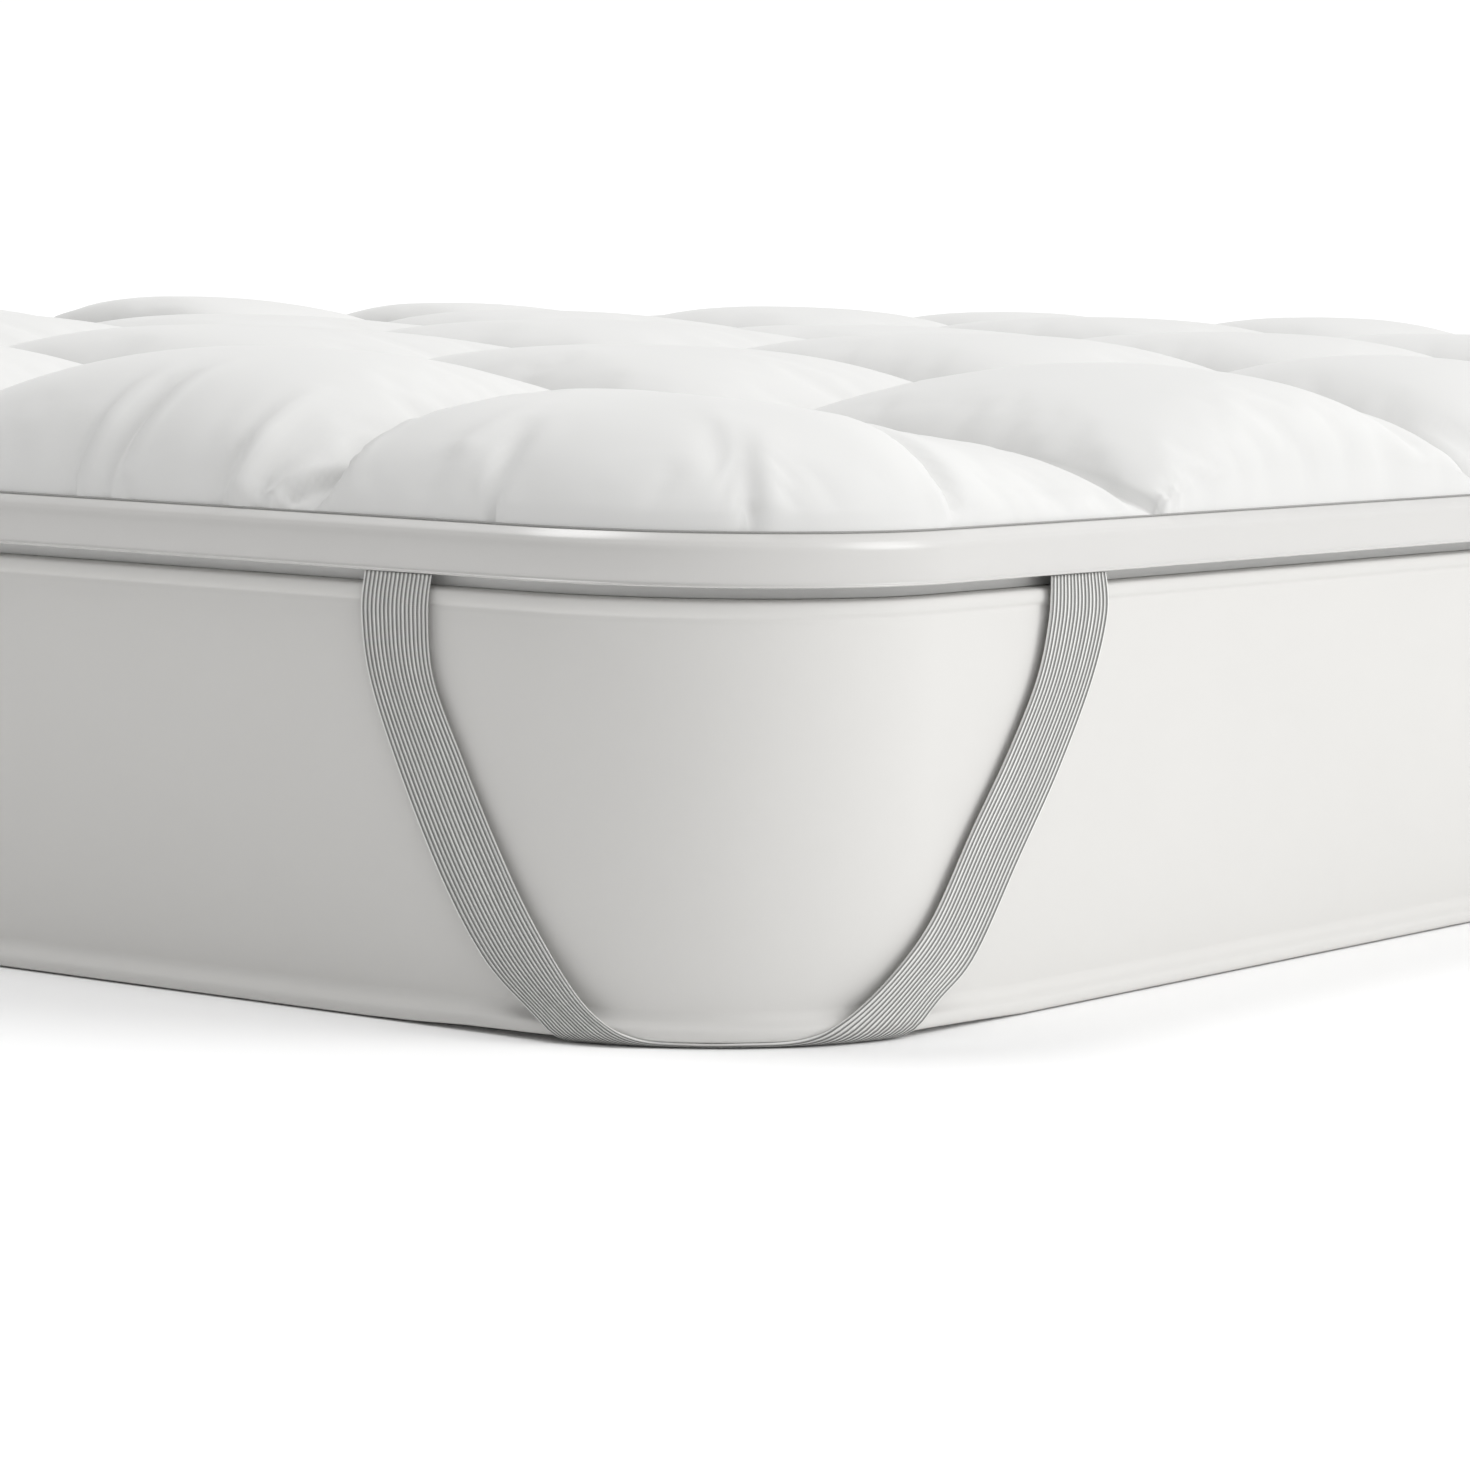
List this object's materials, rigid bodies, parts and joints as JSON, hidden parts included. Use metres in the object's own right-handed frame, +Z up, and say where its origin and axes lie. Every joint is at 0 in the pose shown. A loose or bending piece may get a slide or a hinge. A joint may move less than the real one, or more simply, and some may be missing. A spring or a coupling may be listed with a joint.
{
  "type": "quilted mattress topper on a mattress",
  "caption": "Thick quilted mattress topper with puffed sewn cells, a smooth side band and elastic corner straps, on a plain mattress.",
  "frame": {"origin": "centre of the footprint, on the surface that the mattress rests on", "axes": "+X along the bed's length, +Y across its width, +Z up"},
  "size_m": [2.0086, 1.5086, 0.3219],
  "materials": {
    "mattress_ticking": "matt plain knit",
    "topper_microfibre": "soft brushed microfibre",
    "band_fabric": "smooth matt weave",
    "ribbed_elastic": "ribbed elastic webbing"
  },
  "bodies": {
    "root": {"mattress": "mattress_ticking", "quilted_pad": "topper_microfibre", "border_band": "band_fabric", "corner_strap_1": "ribbed_elastic", "corner_strap_2": "ribbed_elastic", "corner_strap_3": "ribbed_elastic", "corner_strap_4": "ribbed_elastic"}
  },
  "joints": []
}
